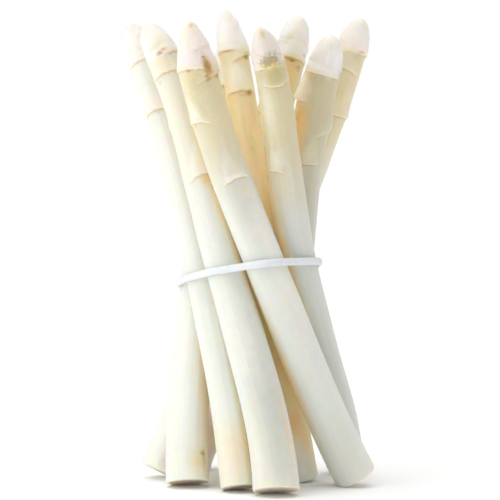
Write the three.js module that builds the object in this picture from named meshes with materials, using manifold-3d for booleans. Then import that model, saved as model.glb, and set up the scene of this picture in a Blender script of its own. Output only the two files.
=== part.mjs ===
// A bundle of white asparagus that stands on its cut ends. Eight spears lean round a ninth, all
// turned the same way, so they draw in to a waist and spread again above it. One elastic tie
// goes round the waist. Millimetres, +Z up, origin on the table under the middle of the bundle.
import * as THREE from 'three';
import { mergeVertices } from 'three/addons/utils/BufferGeometryUtils.js';
import Module from 'manifold-3d';

const wasm = await Module();
wasm.setup();

// Heights that every spear's axis is placed at: the table, the knee below the tie, the tie's own
// waist, and the shoulder where the spears part again. Above them comes the tip.
const PLACED_HEIGHTS = [0, 46, 96, 152];

// Each spear: its axis in plan at those heights and its tip's place; its radii at the cut end,
// half way up and just below the bud; its bud's length and how blunt it is, from 1, a cone, down;
// the turn of its first bud leaf; and its stalk leaves, as [distance below the apex, turn]. Turns
// are in degrees from +X, so 270 faces the front.
const SPEARS = [
  { name: 'spear_far_left', places: [[-3.2, -29.9], [-10, -17], [-20.2, -4.1], [-34.3, 9.8]],
    tip: [-54.2, 24.3, 206], radii: [8.6, 7.6, 7.1], budLength: 14, budShape: 0.45,
    firstTurn: 332, leaves: [[19.5, 262], [27, 100], [43.5, 250], [70, 20]] },
  { name: 'spear_left', places: [[12.8, -42.6], [5.1, -29.9], [-9.3, -19.3], [-24.5, -9.7]],
    tip: [-45, 0.3, 206], radii: [10.3, 8.6, 6.9], budLength: 14, budShape: 0.42,
    firstTurn: 150, leaves: [[16.5, 325], [24.5, 258], [47, 110], [73, 283]] },
  { name: 'spear_front_left', places: [[50.9, -10.2], [29.4, -18.1], [9.6, -24.4], [-11.7, -30.7]],
    tip: [-24.9, -37.7, 208], radii: [9.7, 9, 8.4], budLength: 24, budShape: 0.7,
    firstTurn: 180, leaves: [[22, 245], [25, 340], [43.5, 228], [74, 262]] },
  { name: 'spear_centre', places: [[24.2, 4.8], [15.3, 0.8], [7.1, 1.4], [0, 5.1]],
    tip: [-10.6, 6.3, 213], radii: [8.6, 7.4, 6.4], budLength: 20, budShape: 0.56,
    firstTurn: 350, leaves: [[18.5, 245], [22, 330], [37.5, 275], [62, 60]] },
  { name: 'spear_front', places: [[45.1, 32.3], [36.3, 9.4], [23.5, -8.7], [15.4, -25.7]],
    tip: [4.8, -43.7, 205], radii: [8.9, 8.4, 6.9], budLength: 19, budShape: 0.62,
    firstTurn: 232, leaves: [[17.5, 262], [26, 298], [45, 140], [66, 258]] },
  { name: 'spear_back_right', places: [[-42.3, 11.6], [-23.6, 20.3], [-7.9, 26.8], [8.5, 32.3]],
    tip: [23.9, 38.3, 210], radii: [8.8, 8.1, 7.1], budLength: 15, budShape: 0.43,
    firstTurn: 128, leaves: [[20, 285], [30, 120], [48, 215], [75, 330]] },
  { name: 'spear_front_right', places: [[-3.9, 34.3], [13.5, 24.8], [20.8, 12.3], [26.9, -5.5]],
    tip: [37.6, -23.7, 201], radii: [9, 8.6, 7.8], budLength: 22, budShape: 0.4,
    firstTurn: 95, leaves: [[16, 262], [29.5, 200], [44, 350], [62, 262]] },
  { name: 'spear_right', places: [[-25.9, 43.3], [-8.6, 37.9], [11.6, 28.1], [32.8, 16.3]],
    tip: [51.4, 8.3, 209], radii: [8.4, 7.7, 6.7], budLength: 15, budShape: 0.45,
    firstTurn: 50, leaves: [[15, 290], [23, 250], [44.5, 300], [70, 120]] },
  { name: 'spear_back', places: [[-26.5, -15.5], [-25.9, -1.1], [-21, 14.1], [-13.9, 29.3]],
    tip: [-6.9, 46.3, 200], radii: [9.9, 8.6, 7.2], budLength: 15, budShape: 0.45,
    firstTurn: 110, leaves: [[19.5, 160], [26, 297], [45, 75], [72, 212]] },
];

const STALK_SIDES = 14;
const BUD_RINGS = 5;
const BODY_RINGS = 8;
const FOOT_FLAT_DEPTH = 0.7;
const UNDER_TABLE_WIDTH = 300;
const UNDER_TABLE_DEPTH = 20;
const MERGE_DISTANCE = 1e-5;

// Scale leaves: where each one's base is, measured down from the apex, its length, half of the
// angle that it clasps, and how far its outer face stands off the stalk at its base and its tip.
// The base is a ledge that stands proud, and the tip lies close. Those of the bud follow each
// other by the same turn; those of the stalk grow longer down it.
const BUD_LEAF_TURN_STEP = 137.5;
const BUD_LEAVES = [
  { fromApex: 7.5, length: 6, halfWrap: 88, baseLift: 0.45, tipLift: 0.3 },
  { fromApex: 11.5, length: 8.5, halfWrap: 80, baseLift: 0.5, tipLift: 0.35 },
  { fromApex: 15, length: 10.5, halfWrap: 76, baseLift: 0.6, tipLift: 0.4 },
];
const STALK_LEAF = { halfWrap: 82, baseLift: 1.1, tipLift: 0.5 };
const STALK_LEAF_LENGTH = 10.5;
const STALK_LEAF_GROWTH = 0.083;
const LEAF_POINTEDNESS = 0.62;
const LEAF_TIP_WIDTH = 0.12;
const LEAF_EDGE_LIFT = 0.35;
const LEAF_BASE_ARCH = 3;
const LEAF_ROOT_DEPTH = 1.4;
const LEAF_DEEPEST_SHARE = 0.2;
const LEAF_COLUMNS = 3;
const LEAF_ROWS = 3;

// The tie: an oval elastic loop in a tilted plane, stretched round the outside of the spears.
const TIE_HEIGHT = 95;
const TIE_RISE_TO_RIGHT = 0.124;
const TIE_RISE_TO_FRONT = 0.163;
const TIE_HALF_THICKNESS = 1.3;
const TIE_HALF_WIDTH = 1.7;
const TIE_GAP = 0.3;
const TIE_SEARCH_ROUNDS = 20;
const TIE_OUTLINE_POINTS = 48;
const TIE_STEPS = 64;
const TIE_SECTION_SIDES = 8;

const stalkMaterial = new THREE.MeshStandardMaterial({ color: 0xe9e2c4, roughness: 0.42, metalness: 0 });
const tieMaterial = new THREE.MeshStandardMaterial({ color: 0xf0f1f2, roughness: 0.5, metalness: 0 });

// A spear's axis: the polynomial in height through its placed points and its tip.
class SpearAxis extends THREE.Curve {
  constructor(spear) {
    super();
    const [tipX, tipY, tipHeight] = spear.tip;
    this.heights = [...PLACED_HEIGHTS, tipHeight];
    this.places = [...spear.places, [tipX, tipY]];
    // The cut face is square to the axis, and lies so high that only its low rim, lowered by
    // the lean there, dips under the table.
    this.lowest = 0;
    const leanAtFoot = Math.acos(this.getTangent(0).z);
    this.lowest = spear.radii[0] * Math.sin(leanAtFoot) - FOOT_FLAT_DEPTH;
  }

  getPoint(share, target = new THREE.Vector3()) {
    const height = THREE.MathUtils.lerp(this.lowest, this.heights.at(-1), share);
    target.set(0, 0, height);
    this.places.forEach(([x, y], own) => {
      const weight = this.heights.reduce((product, other, index) => (
        index === own ? product : product * (height - other) / (this.heights[own] - other)), 1);
      target.x += weight * x;
      target.y += weight * y;
    });
    return target;
  }
}

// The stalk's radius at a distance down from the apex. Below the bud it passes smoothly through
// the spear's three radii, and the bud rounds it off.
function stalkRadius(spear, length, fromApex) {
  const [root, halfWay, neck] = spear.radii;
  const up = THREE.MathUtils.clamp((length - fromApex) / (length - spear.budLength), 0, 1);
  const body = root * (1 - up) * (1 - 2 * up) + halfWay * 4 * up * (1 - up) + neck * up * (2 * up - 1);
  const intoBud = THREE.MathUtils.clamp(fromApex / spear.budLength, 0, 1);
  return body * (1 - (1 - intoBud) ** 2) ** spear.budShape;
}

// A point beside a spear's axis: so far down from the apex, at this turn and distance from it.
function besideAxis(axis, length, fromApex, turn, distance) {
  const share = THREE.MathUtils.clamp(1 - fromApex / length, 0, 1);
  const along = axis.getTangentAt(share);
  const across = new THREE.Vector3(1, 0, 0).addScaledVector(along, -along.x).normalize();
  const inward = new THREE.Vector3().crossVectors(along, across);
  return axis.getPointAt(share)
    .addScaledVector(across, distance * Math.cos(turn))
    .addScaledVector(inward, distance * Math.sin(turn));
}

// Moves each vertex of a geometry to where the given rule puts it.
function reshape(geometry, rule) {
  const positions = geometry.attributes.position;
  const vertex = new THREE.Vector3();
  for (let index = 0; index < positions.count; index += 1) {
    vertex.fromBufferAttribute(positions, index);
    const moved = rule(vertex, index);
    positions.setXYZ(index, moved.x, moved.y, moved.z);
  }
  return geometry;
}

function solidOf(geometry) {
  geometry.deleteAttribute('normal');
  geometry.deleteAttribute('uv');
  const merged = mergeVertices(geometry, MERGE_DISTANCE);
  return new wasm.Manifold(new wasm.Mesh({
    numProp: 3,
    vertProperties: new Float32Array(merged.attributes.position.array),
    triVerts: new Uint32Array(merged.index.array),
  }));
}

function geometryOf(solid) {
  const mesh = solid.getMesh();
  const geometry = new THREE.BufferGeometry();
  geometry.setAttribute('position', new THREE.BufferAttribute(mesh.vertProperties, 3));
  geometry.setIndex(new THREE.BufferAttribute(mesh.triVerts, 1));
  geometry.computeVertexNormals();
  return geometry;
}

// The bare stalk is a cone whose rings are spread along the axis, closer together in the bud.
function stalkSolid(spear, axis, length) {
  const rings = BUD_RINGS + BODY_RINGS;
  const budShare = BUD_RINGS / rings;
  const cone = new THREE.ConeGeometry(1, 1, STALK_SIDES, rings);
  return solidOf(reshape(cone, (vertex) => {
    const toApex = 0.5 - vertex.y;
    const inBud = toApex / budShare;
    const belowBud = (toApex - budShare) / (1 - budShare);
    const fromApex = toApex < budShare
      ? spear.budLength * inBud ** 2
      : spear.budLength + (length - spear.budLength) * belowBud;
    const outward = toApex > 0 ? Math.hypot(vertex.x, vertex.z) / toApex : 0;
    const turn = Math.atan2(-vertex.z, vertex.x);
    return besideAxis(axis, length, fromApex, turn, outward * stalkRadius(spear, length, fromApex));
  }));
}

// A scale leaf is a block bent round the stalk: broad at its arched base, closing to a blunt
// point, with its inner face sunk in the stalk and its sides brought down towards it.
function leafSolid(spear, axis, length, leaf) {
  const block = new THREE.BoxGeometry(2, 1, 1, LEAF_COLUMNS, LEAF_ROWS, 1);
  return solidOf(reshape(block, (vertex) => {
    const across = vertex.x;
    const up = vertex.y + 0.5;
    const arch = LEAF_BASE_ARCH * across ** 2 * (1 - up);
    const fromApex = leaf.fromApex + arch - leaf.length * up;
    const narrowing = Math.max((1 - up) ** LEAF_POINTEDNESS, LEAF_TIP_WIDTH);
    const turn = THREE.MathUtils.degToRad(leaf.turn + leaf.halfWrap * narrowing * across);
    const lift = THREE.MathUtils.lerp(leaf.baseLift, leaf.tipLift, up);
    const raised = THREE.MathUtils.lerp(lift, LEAF_EDGE_LIFT, Math.abs(across) ** 3);
    const radius = stalkRadius(spear, length, fromApex);
    const sunk = Math.max(radius - LEAF_ROOT_DEPTH, LEAF_DEEPEST_SHARE * radius);
    return besideAxis(axis, length, fromApex, turn, vertex.z > 0 ? radius + raised : sunk);
  }));
}

// Every scale leaf of a spear, with its own turn round the axis.
function leavesOf(spear) {
  const onBud = BUD_LEAVES.map((leaf, order) => (
    { ...leaf, turn: spear.firstTurn + order * BUD_LEAF_TURN_STEP }));
  const onStalk = spear.leaves.map(([fromApex, turn]) => (
    { ...STALK_LEAF, fromApex, turn, length: STALK_LEAF_LENGTH + STALK_LEAF_GROWTH * fromApex }));
  return [...onBud, ...onStalk];
}

// What lies under the table, which trims each cut end to a small flat that the spear stands on.
function belowTable() {
  const block = new THREE.BoxGeometry(UNDER_TABLE_WIDTH, UNDER_TABLE_WIDTH, UNDER_TABLE_DEPTH);
  block.translate(0, 0, -UNDER_TABLE_DEPTH / 2);
  return solidOf(block);
}

function spearMesh(spear) {
  const axis = new SpearAxis(spear);
  const length = axis.getLength();
  const grown = leavesOf(spear).reduce(
    (solid, leaf) => solid.add(leafSolid(spear, axis, length, leaf)),
    stalkSolid(spear, axis, length),
  );
  const mesh = new THREE.Mesh(geometryOf(grown.subtract(belowTable())), stalkMaterial.clone());
  mesh.name = spear.name;
  return mesh;
}

// ---- the tie ----

function tiePlane() {
  const normal = new THREE.Vector3(-TIE_RISE_TO_RIGHT, TIE_RISE_TO_FRONT, 1).normalize();
  return new THREE.Plane(normal, -normal.z * TIE_HEIGHT);
}

// Where a spear, thickened by the tie's own thickness and gap, crosses the tie's plane.
function crossing(spear, plane) {
  const axis = new SpearAxis(spear);
  const length = axis.getLength();
  let share = 0.5;
  for (let round = 0; round < TIE_SEARCH_ROUNDS; round += 1) {
    share -= plane.distanceToPoint(axis.getPointAt(share)) / length;
  }
  const fromApex = length * (1 - share);
  const along = axis.getTangentAt(share);
  const distance = stalkRadius(spear, length, fromApex) + TIE_GAP + TIE_HALF_THICKNESS;
  const points = [];
  for (let step = 0; step < TIE_OUTLINE_POINTS; step += 1) {
    const turn = (step / TIE_OUTLINE_POINTS) * 2 * Math.PI;
    const point = besideAxis(axis, length, fromApex, turn, distance);
    const slide = -plane.distanceToPoint(point) / plane.normal.dot(along);
    points.push(point.addScaledVector(along, slide));
  }
  return points;
}

// The taut outline round a set of points, seen in plan, anticlockwise.
function tautOutline(points) {
  const sorted = [...points].sort((a, b) => a.x - b.x || a.y - b.y);
  const turnsRight = (a, b, c) => (b.x - a.x) * (c.y - a.y) - (b.y - a.y) * (c.x - a.x) <= 0;
  const half = (ordered) => {
    const chain = [];
    ordered.forEach((point) => {
      while (chain.length > 1 && turnsRight(chain.at(-2), chain.at(-1), point)) {
        chain.pop();
      }
      chain.push(point);
    });
    return chain.slice(0, -1);
  };
  return [...half(sorted), ...half(sorted.reverse())];
}

// A closed path through the outline's corners, with points evenly spaced along it.
function evenLoop(corners, steps) {
  const path = new THREE.CurvePath();
  corners.forEach((corner, index) => {
    path.add(new THREE.LineCurve3(corner, corners[(index + 1) % corners.length]));
  });
  return path.getSpacedPoints(steps).slice(0, steps);
}

function tieMesh() {
  const plane = tiePlane();
  const outline = tautOutline(SPEARS.flatMap((spear) => crossing(spear, plane)));
  const loop = evenLoop(outline, TIE_STEPS);
  const ring = new THREE.TorusGeometry(1, 0.5, TIE_SECTION_SIDES, TIE_STEPS);
  const uv = ring.attributes.uv;
  reshape(ring, (vertex, index) => {
    const step = Math.round(uv.getX(index) * TIE_STEPS) % TIE_STEPS;
    const sectionTurn = uv.getY(index) * 2 * Math.PI;
    const before = loop[(step + TIE_STEPS - 1) % TIE_STEPS];
    const after = loop[(step + 1) % TIE_STEPS];
    const along = new THREE.Vector3().subVectors(after, before).normalize();
    const outward = new THREE.Vector3().crossVectors(along, plane.normal);
    return loop[step].clone()
      .addScaledVector(outward, TIE_HALF_THICKNESS * Math.cos(sectionTurn))
      .addScaledVector(plane.normal, TIE_HALF_WIDTH * Math.sin(sectionTurn));
  });
  const mesh = new THREE.Mesh(geometryOf(solidOf(ring)), tieMaterial);
  mesh.name = 'tie_band';
  return mesh;
}

const bundle = new THREE.Group();
SPEARS.forEach((spear) => bundle.add(spearMesh(spear)));
bundle.add(tieMesh());

export default bundle;
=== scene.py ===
import math
from dataclasses import dataclass

import bpy
import numpy as np
from bpy.props import FloatProperty, FloatVectorProperty, PointerProperty
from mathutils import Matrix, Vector
from mathutils.bvhtree import BVHTree


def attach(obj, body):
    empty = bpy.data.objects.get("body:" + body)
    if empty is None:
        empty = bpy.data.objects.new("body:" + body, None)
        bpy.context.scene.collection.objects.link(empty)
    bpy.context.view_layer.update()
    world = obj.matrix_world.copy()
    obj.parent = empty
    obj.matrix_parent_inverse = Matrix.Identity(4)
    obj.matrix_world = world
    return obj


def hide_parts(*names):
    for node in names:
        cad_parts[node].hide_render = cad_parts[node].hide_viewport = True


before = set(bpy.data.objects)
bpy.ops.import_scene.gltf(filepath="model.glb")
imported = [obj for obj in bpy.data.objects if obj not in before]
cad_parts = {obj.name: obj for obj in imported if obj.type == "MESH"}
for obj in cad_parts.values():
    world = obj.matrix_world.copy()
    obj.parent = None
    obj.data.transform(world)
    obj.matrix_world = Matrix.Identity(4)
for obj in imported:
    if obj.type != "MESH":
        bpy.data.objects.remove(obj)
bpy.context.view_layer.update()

bl_info = {
    "name": "Standing asparagus bundle",
    "version": (1, 0, 0),
    "blender": (4, 5, 0),
    "location": "3D View > Sidebar > Asparagus",
    "description": "Grows a tied bundle of white asparagus on its packed frame, with its stage",
    "category": "Add Mesh",
}

BODY = "root"
MM = 0.001

# Lengths on the spears and the tie are millimetres until a mesh is made, and the settings are in
# metres. A place on a spear is how far it is below the apex, along the axis, and its turn:
# degrees round the axis from +X, so 270 faces the front.

# ================================ the spears ================================

# A leaf of the stalk has this length at the apex, and grows by this share of its distance down.
STALK_LEAF_LENGTH = 10.5
STALK_LEAF_GROWTH = 0.083

# The bud's leaves follow each other by one turn and have hardly browned. Each has its base, its
# length, half of the angle that it clasps, and its lift at the base and at the tip.
BUD_LEAF_TURN_STEP = 137.5
BUD_LEAF_STAIN = 0.25
BUD_LEAVES = (
    (7.5, 6.0, 88, 0.45, 0.3),
    (11.5, 8.5, 80, 0.5, 0.35),
    (15.0, 10.5, 76, 0.6, 0.4),
)

# Heights at which every spear's axis is placed: the table, the knee, the waist and the shoulder.
PLACED_HEIGHTS = (0.0, 46.0, 96.0, 152.0)
# How deep the low rim of a leaning spear's cut is pressed flat on the table.
FOOT_FLAT_DEPTH = 0.7


@dataclass
class Leaf:
    """A scale leaf: its base below the apex, the turn that it faces and its length; half of the
    angle that it clasps; how far it stands off the stalk at its base and its tip; how far its
    base line droops at the sides, and how pointed it is; the turn at which its base flares, and
    how far; and how much its edges have browned."""
    base: float
    turn: float
    length: float
    half_wrap: float = 82.0
    base_lift: float = 1.1
    tip_lift: float = 0.45
    base_arch: float = 3.0
    pointedness: float = 0.62
    flare_turn: float = 0.0
    flare: float = 0.0
    stain: float = 1.0


@dataclass
class Spear:
    """One spear: its solid's name; its axis in plan at the placed heights, and its tip; its radii
    at the cut, half way up and below the bud; the bud's length, how blunt it is, and the turn of
    its first leaf; the leaves of the stalk; how lilac the bud is, how warm the upper stalk, how
    tan the root, how strongly a painted glow covers its skin where other spears shut it in, and
    how pale it is, which is partly its own whiteness and partly painted light and shade across
    the bundle; and its marks by kind, each as (below the apex, turn, height, width, strength)."""
    node: str
    places: tuple
    tip: tuple
    radii: tuple
    bud_length: float
    bud_shape: float
    first_turn: float
    leaves: list
    lilac: float
    warmth: float
    tan_root: float
    glow: float
    paleness_and_painted_light: float
    marks: dict


def leaf(base, turn, **form):
    """A leaf of the stalk, longer the further down it grows."""
    return Leaf(base, turn, STALK_LEAF_LENGTH + STALK_LEAF_GROWTH * base, **form)


SPEARS = [
    Spear(
        "spear_far_left",
        places=((-3.2, -29.9), (-10, -17), (-20.2, -4.1), (-34.3, 9.8)),
        tip=(-54.2, 24.3, 206), radii=(8.6, 7.6, 7.1),
        bud_length=14, bud_shape=0.45, first_turn=332,
        leaves=[leaf(19.5, 262), leaf(27, 100), leaf(43.5, 250), leaf(70, 20)],
        lilac=0.45, warmth=0.05, tan_root=0.7, glow=0.3, paleness_and_painted_light=1.1,
        marks={"tan": [(200, 292, 24, 4, 0.4)],
               "olive": [(18, 186, 5, 3, 0.35), (44, 256, 4, 6, 0.5)],
               "yellow": [(202, 270, 34, 13, 0.5)],
               "red": [(43, 200, 3, 3, 0.2)]}),
    Spear(
        "spear_left",
        places=((12.8, -42.6), (5.1, -29.9), (-9.3, -19.3), (-24.5, -9.7)),
        tip=(-45, 0.3, 206), radii=(10.3, 8.6, 6.9),
        bud_length=14, bud_shape=0.42, first_turn=150,
        leaves=[leaf(16.5, 325), leaf(24.5, 258), leaf(47, 110), leaf(73, 283, half_wrap=62)],
        lilac=0.1, warmth=0.25, tan_root=0.35, glow=0.45, paleness_and_painted_light=1.1,
        # Its big grey mark on the lower front is painted shade, and the pale one a little higher
        # is painted light.
        marks={"grey_and_painted_shade": [(178, 286, 110, 22, 0.9)],
               "pale_and_painted_light": [(150, 264, 56, 17, 0.7)],
               "tan": [(75.5, 286, 6, 5, 0.9), (190, 322, 56, 5, 0.6)],
               "olive": [(12, 236, 3, 2, 0.5), (20, 240, 4, 3, 0.35), (27.5, 222, 3, 3, 0.6),
                         (197, 288, 18, 3, 0.35)],
               "yellow": [(11, 262, 16, 15, 0.4), (21, 272, 10, 16, 0.5), (24, 302, 10, 5, 0.6),
                          (66, 218, 60, 14, 0.25), (77, 300, 9, 7, 0.55), (182, 232, 44, 9, 0.35)],
               "red": [(14.4, 283, 1.5, 2.8, 1.0)],
               "brown": [(15.4, 264, 2.0, 3.2, 0.8), (79, 304, 2.6, 1.6, 0.8)]}),
    Spear(
        "spear_front_left",
        places=((50.9, -10.2), (29.4, -18.1), (9.6, -24.4), (-11.7, -30.7)),
        tip=(-24.9, -37.7, 208), radii=(9.7, 9, 8.4),
        bud_length=24, bud_shape=0.7, first_turn=180,
        leaves=[leaf(20.3, 245), leaf(25, 340), leaf(43.5, 228, half_wrap=50),
                leaf(72, 287, half_wrap=46, base_arch=2.0)],
        lilac=0.8, warmth=0.75, tan_root=0.1, glow=0.8, paleness_and_painted_light=1.06,
        # Its grey mark on the upper left flank is painted shade and its long pale mark on the
        # right flank is painted light; they even out how the key light falls across it.
        marks={"grey_and_painted_shade": [(10, 196, 20, 13, 0.35), (60, 222, 66, 17, 0.55), (76, 274, 52, 16, 0.65),
                        (198, 295, 46, 22, 0.4)],
               "pale_and_painted_light": [(40, 226, 12, 7, 0.7), (70.5, 287, 3, 12, 0.8), (112, 315, 80, 13, 0.8)],
               "tan": [(20.5, 308, 12, 7, 0.8), (135, 290, 17, 8, 0.3), (169.5, 264, 12, 10, 0.3)],
               "olive": [(1.8, 278, 2.2, 2.2, 1.0), (13, 298, 12, 4, 0.35), (26, 268, 14, 16, 0.6),
                         (34, 302, 28, 16, 0.4)],
               "yellow": [(24, 262, 3, 8, 0.6), (78, 288, 7, 8, 0.45)],
               "red": [(24.6, 316, 3, 3, 0.6)],
               "brown": [(16, 300, 1.3, 1.7, 1.0), (20.4, 244, 1.6, 2.0, 1.0),
                         (20.5, 303, 10, 3.6, 1.0), (25, 298, 4, 3, 1.0), (25.5, 334, 4.5, 4, 0.7),
                         (44.8, 216, 3.6, 3, 0.5)]}),
    Spear(
        "spear_centre",
        places=((24.2, 4.8), (15.3, 0.8), (7.1, 1.4), (0, 5.1)),
        tip=(-10.6, 6.3, 213), radii=(8.6, 7.85, 6.4),
        bud_length=20, bud_shape=0.56, first_turn=350,
        leaves=[leaf(18.5, 245), leaf(22, 330), leaf(37.5, 275), leaf(62, 60)],
        lilac=0.0, warmth=0.95, tan_root=0.6, glow=0.9, paleness_and_painted_light=1.2,
        marks={"pale_and_painted_light": [(30, 266, 15, 13, 1.0), (48, 268, 26, 12, 0.55), (208, 288, 24, 18, 1.0)],
               "tan": [(48, 296, 18, 6, 0.5), (188, 280, 12, 10, 0.8)],
               "olive": [(18.3, 240, 1.2, 9, 0.9), (63, 284, 24, 5, 0.5)],
               "yellow": [(52, 268, 22, 2.2, 0.8)],
               "red": [(39.5, 292, 3, 9, 0.5), (47, 312, 20, 3, 0.4), (50, 276, 20, 2.5, 0.2),
                       (70, 296, 26, 3, 0.35)],
               "brown": [(22.4, 326, 3.4, 4, 0.9), (38.8, 308, 3, 3.5, 0.8)]}),
    Spear(
        "spear_front",
        places=((45.1, 32.3), (36.3, 9.4), (23.5, -8.7), (15.4, -25.7)),
        tip=(4.8, -43.7, 205), radii=(8.9, 8.4, 6.9),
        bud_length=19, bud_shape=0.62, first_turn=232,
        leaves=[leaf(17.5, 262),
                leaf(26.5, 286, half_wrap=64, base_arch=-2.5, pointedness=0.5,
                     flare_turn=350, flare=1.0),
                leaf(45, 140), leaf(65.5, 236, half_wrap=36, base_arch=1.5, pointedness=0.5)],
        lilac=0.85, warmth=0.8, tan_root=0.25, glow=0.8, paleness_and_painted_light=0.97,
        marks={"grey_and_painted_shade": [(9, 280, 16, 18, 0.5), (165, 290, 120, 26, 0.65)],
               "pale_and_painted_light": [(36, 236, 32, 9, 0.7), (60, 252, 12, 7, 0.6)],
               "olive": [(2.6, 290, 3.4, 2.6, 0.8), (20, 284, 14, 12, 1.0)],
               "yellow": [(8, 290, 14, 10, 0.25), (15.8, 276, 5, 9, 0.8), (70, 240, 90, 5, 0.3)],
               "red": [(7.4, 300, 1.6, 4, 0.25)],
               "speckle": [(13.4, 280, 5.5, 8, 1.0)]}),
    Spear(
        "spear_back_right",
        places=((-42.3, 11.6), (-23.6, 20.3), (-7.9, 26.8), (8.5, 32.3)),
        tip=(23.9, 38.3, 210), radii=(8.8, 8.1, 7.1),
        bud_length=15, bud_shape=0.43, first_turn=128,
        leaves=[leaf(20, 285, flare_turn=345, flare=0.8), leaf(30, 120),
                leaf(48, 215), leaf(75, 330)],
        lilac=0.1, warmth=1.0, tan_root=0.05, glow=1.0, paleness_and_painted_light=1.05,
        marks={"pale_and_painted_light": [(200, 255, 50, 22, 0.8)],
               "tan": [(32, 275, 18, 8, 0.65)],
               "yellow": [(7.5, 272, 4, 3.4, 0.5), (10.5, 256, 3, 3, 0.7), (13.6, 244, 2, 5, 0.8),
                          (14, 214, 1.8, 8, 0.7)],
               "red": [(20.4, 262, 1.6, 7, 1.0), (23.5, 270, 9, 10, 0.4)],
               "brown": [(17.5, 325, 2, 3, 0.6), (21.2, 282, 1.5, 3, 1.0),
                         (23.5, 315, 3, 4, 0.6)]}),
    Spear(
        "spear_front_right",
        places=((-3.9, 34.3), (13.5, 24.8), (20.8, 12.3), (26.9, -5.5)),
        tip=(37.6, -23.7, 201), radii=(9, 8.6, 7.8),
        bud_length=22, bud_shape=0.4, first_turn=95,
        leaves=[leaf(16, 262),
                leaf(31.5, 190, half_wrap=44, base_arch=-1.5, pointedness=0.22,
                     flare_turn=184, flare=1.6),
                leaf(44, 350), leaf(59, 276, half_wrap=40, base_arch=0.5, pointedness=0.5),
                leaf(41, 180, half_wrap=52)],
        lilac=0.1, warmth=0.8, tan_root=0.4, glow=0.85, paleness_and_painted_light=0.88,
        marks={"grey_and_painted_shade": [(41, 330, 26, 8, 0.6), (72, 280, 34, 16, 0.7)],
               "pale_and_painted_light": [(24, 188, 18, 13, 1.0), (25, 206, 14, 7, 0.8), (53, 264, 16, 8, 0.6)],
               "tan": [(39, 220, 14, 8, 1.0), (48, 222, 30, 6, 0.8)],
               "olive": [(8, 300, 16, 8, 0.2), (18.5, 242, 5, 12, 0.55), (19.5, 262, 6, 6, 0.6)],
               "yellow": [(14.8, 236, 1.4, 8, 0.8), (17.5, 226, 3, 6, 0.5)],
               "brown": [(17.5, 268, 3.4, 2.6, 0.35), (37, 214, 9, 6, 0.35),
                         (59.2, 276, 0.7, 6, 0.7)]}),
    Spear(
        "spear_right",
        places=((-25.9, 43.3), (-8.6, 37.9), (11.6, 28.1), (32.8, 16.3)),
        tip=(51.4, 8.3, 209), radii=(8.4, 7.7, 6.7),
        bud_length=15, bud_shape=0.45, first_turn=50,
        leaves=[leaf(15, 290, flare_turn=345, flare=0.7), leaf(23, 250),
                leaf(44.5, 300), leaf(70, 120)],
        lilac=0.35, warmth=0.75, tan_root=0.5, glow=0.8, paleness_and_painted_light=1.07,
        # Its pale mark at the foot is painted light, lifting a strip that lies in shade between
        # the spears.
        marks={"pale_and_painted_light": [(188, 262, 64, 26, 1.0)],
               "olive": [(16.5, 296, 7, 7, 0.5), (22.4, 312, 2, 3, 0.6), (43, 298, 7, 7, 0.4)],
               "red": [(17.5, 266, 2, 2, 0.2)],
               "brown": [(14, 300, 1.4, 4, 0.7)]}),
    Spear(
        "spear_back",
        places=((-26.5, -15.5), (-25.9, -1.1), (-21, 14.1), (-13.9, 29.3)),
        tip=(-6.9, 46.3, 200), radii=(9.9, 8.6, 7.2),
        bud_length=15, bud_shape=0.45, first_turn=110,
        leaves=[leaf(19.5, 160), leaf(26, 297), leaf(45, 75), leaf(72, 212)],
        lilac=0.5, warmth=0.35, tan_root=0.15, glow=0.7, paleness_and_painted_light=1.12,
        # Its narrow pale mark on the right flank near the foot is painted light on a strip in
        # shade.
        marks={"pale_and_painted_light": [(145, 275, 60, 24, 0.7), (190, 318, 60, 7, 0.9)],
               "olive": [(199, 321, 11, 3, 0.8), (207, 308, 4, 7, 0.35)],
               "yellow": [(180, 316, 62, 5, 0.35), (200, 302, 14, 12, 0.7)],
               "red": [(201, 304, 6, 5, 0.3)],
               "brown": [(193.5, 312, 2, 6, 0.5), (196, 316, 3, 3.4, 0.9)]}),
]


def leaves_of(spear):
    """Every scale leaf of a spear, the bud's first."""
    bud = [Leaf(base, spear.first_turn + order * BUD_LEAF_TURN_STEP, *form, stain=BUD_LEAF_STAIN)
           for order, (base, *form) in enumerate(BUD_LEAVES)]
    return [*bud, *spear.leaves]


# ================================ small helpers ================================

def smooth_step(low, high, value):
    """0 below low, 1 above high, and a smooth change between them."""
    share = np.clip((value - low) / (high - low), 0.0, 1.0)
    return share * share * (3.0 - 2.0 * share)


def bell(distance):
    """1 at no distance, falling off smoothly within about one either way."""
    return np.exp(-distance ** 2)


def turned_apart(turn, middle):
    """Signed angle in degrees from one turn to another, between -180 and 180."""
    return (turn - middle + 180.0) % 360.0 - 180.0


def unit(vectors):
    """The vectors at length 1."""
    return vectors / np.linalg.norm(vectors, axis=-1, keepdims=True)


def waves(turn, along, rng, count, most_turns, wavelengths):
    """Smooth wandering between about -1 and 1 that closes on itself round the spear: the number
    of waves, the most of them round it, and their shortest and longest length down it."""
    total = np.zeros(np.broadcast(turn, along).shape)
    for _ in range(count):
        turns = rng.integers(0, most_turns + 1)
        length = rng.uniform(*wavelengths)
        phase = rng.uniform(0, 2 * math.pi)
        lean = rng.choice((-1.0, 1.0))
        total += np.sin(np.radians(turn) * turns + lean * 2 * math.pi * along / length + phase)
    return total / math.sqrt(count * 0.5) * 0.5


# The steps that an axis is measured in, and the rise over which its slope at the foot is taken.
AXIS_STEPS = 800
SLOPE_STEP = 0.01


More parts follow.
